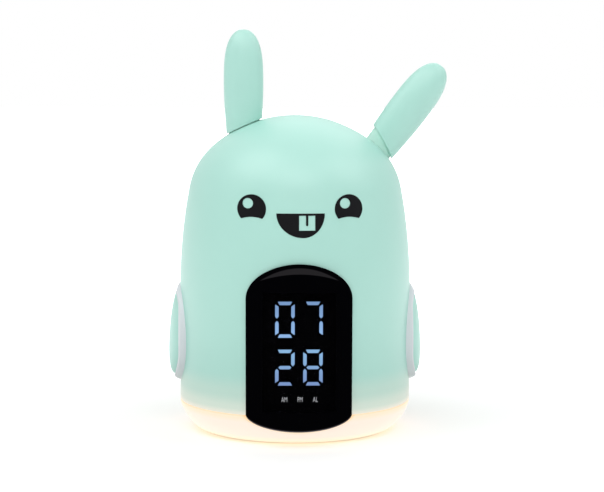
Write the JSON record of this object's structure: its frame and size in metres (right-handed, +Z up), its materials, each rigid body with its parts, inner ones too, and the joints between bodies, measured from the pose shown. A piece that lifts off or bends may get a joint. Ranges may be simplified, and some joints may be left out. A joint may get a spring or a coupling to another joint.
{
  "type": "children's alarm clock with night light",
  "caption": "Rabbit-shaped bedside alarm clock for children with folding ears, push-button arms, an arched digital display and a glowing night-light base ring.",
  "frame": {"origin": "on the table, at the centre of the circle of feet, which is the axis of the round body", "axes": "+Z up along the body's axis, -Y out of the face and display, +X towards the viewer's right"},
  "size_m": [0.1394, 0.1175, 0.1999],
  "materials": {
    "mint_plastic": "satin moulded ABS",
    "pale_mint_plastic": "satin moulded ABS",
    "grey_ring": "satin",
    "warm_diffuser": "translucent, lit from inside",
    "smoked_window": "polished smoked acrylic",
    "printed_ink": "thin gloss ink",
    "black_plastic": "matt",
    "lit_digit": "lit light guide",
    "dark_digit": "unlit light guide",
    "circuit_board": "solder mask",
    "white_plastic": "satin",
    "night_led": "lit chip",
    "foot_rubber": "matt",
    "bright_steel": "plated"
  },
  "bodies": {
    "housing": {"body_shell": "mint_plastic", "face_print": "printed_ink", "display_lens": "smoked_window", "display_frame": "black_plastic", "segment_mask": "black_plastic", "lit_segments": "lit_digit", "dark_segments": "dark_digit", "display_board": "circuit_board", "light_ring": "warm_diffuser", "chassis": "white_plastic", "bottom_cover": "white_plastic", "rubber_feet": "foot_rubber", "cover_screws": "bright_steel", "chassis_screws": "bright_steel", "battery_door": "white_plastic", "battery_door_screw": "bright_steel", "backup_cell": "bright_steel", "cell_holder": "black_plastic", "speaker_basket": "black_plastic", "speaker_cone": "black_plastic", "speaker_magnet": "bright_steel", "light_board": "white_plastic", "night_leds": "night_led", "rear_panel": "mint_plastic", "rear_panel_screws": "bright_steel", "main_board": "circuit_board", "main_board_chips": "black_plastic", "panel_switches": "black_plastic", "usb_socket": "bright_steel", "left_arm_ring": "grey_ring", "right_arm_ring": "grey_ring", "left_arm_switch": "circuit_board", "right_arm_switch": "circuit_board", "ear_frame": "white_plastic", "ear_frame_screws": "bright_steel", "left_ear_pin": "bright_steel", "right_ear_pin": "bright_steel", "ear_washers": "bright_steel", "left_ear_switch": "black_plastic", "right_ear_switch": "black_plastic"},
    "left_ear": {"left_ear_shell": "mint_plastic", "left_ear_lever": "pale_mint_plastic"},
    "right_ear": {"right_ear_shell": "mint_plastic", "right_ear_lever": "pale_mint_plastic"},
    "left_arm": {"left_arm_button": "mint_plastic"},
    "right_arm": {"right_arm_button": "mint_plastic"},
    "clock_key": {"clock_button": "mint_plastic"},
    "alarm_key": {"alarm_button": "mint_plastic"},
    "minus_key": {"minus_button": "mint_plastic"},
    "plus_key": {"plus_button": "mint_plastic"}
  },
  "joints": [
    {"name": "left_ear_fold", "type": "hinge", "parent": "housing", "child": "left_ear", "pos_m": [-0.023, 0, 0.1206], "axis": [0, -1, 0], "range_deg": [0, 37]},
    {"name": "right_ear_fold", "type": "hinge", "parent": "housing", "child": "right_ear", "pos_m": [0.023, 0, 0.1206], "axis": [0, 1, 0], "range_deg": [-37, 0]},
    {"name": "left_arm_press", "type": "slide", "parent": "housing", "child": "left_arm", "axis": [1, 0, 0], "range_m": [0, 0.001], "stiffness_N_per_m": 800, "springref_m": -0.0008},
    {"name": "right_arm_press", "type": "slide", "parent": "housing", "child": "right_arm", "axis": [-1, 0, 0], "range_m": [0, 0.001], "stiffness_N_per_m": 800, "springref_m": -0.0008},
    {"name": "clock_key_press", "type": "slide", "parent": "housing", "child": "clock_key", "axis": [0, -1, 0], "range_m": [0, 0.0008], "stiffness_N_per_m": 400, "springref_m": -0.0005},
    {"name": "alarm_key_press", "type": "slide", "parent": "housing", "child": "alarm_key", "axis": [0, -1, 0], "range_m": [0, 0.0008], "stiffness_N_per_m": 400, "springref_m": -0.0005},
    {"name": "minus_key_press", "type": "slide", "parent": "housing", "child": "minus_key", "axis": [0, -1, 0], "range_m": [0, 0.0008], "stiffness_N_per_m": 400, "springref_m": -0.0005},
    {"name": "plus_key_press", "type": "slide", "parent": "housing", "child": "plus_key", "axis": [0, -1, 0], "range_m": [0, 0.0008], "stiffness_N_per_m": 400, "springref_m": -0.0005}
  ]
}
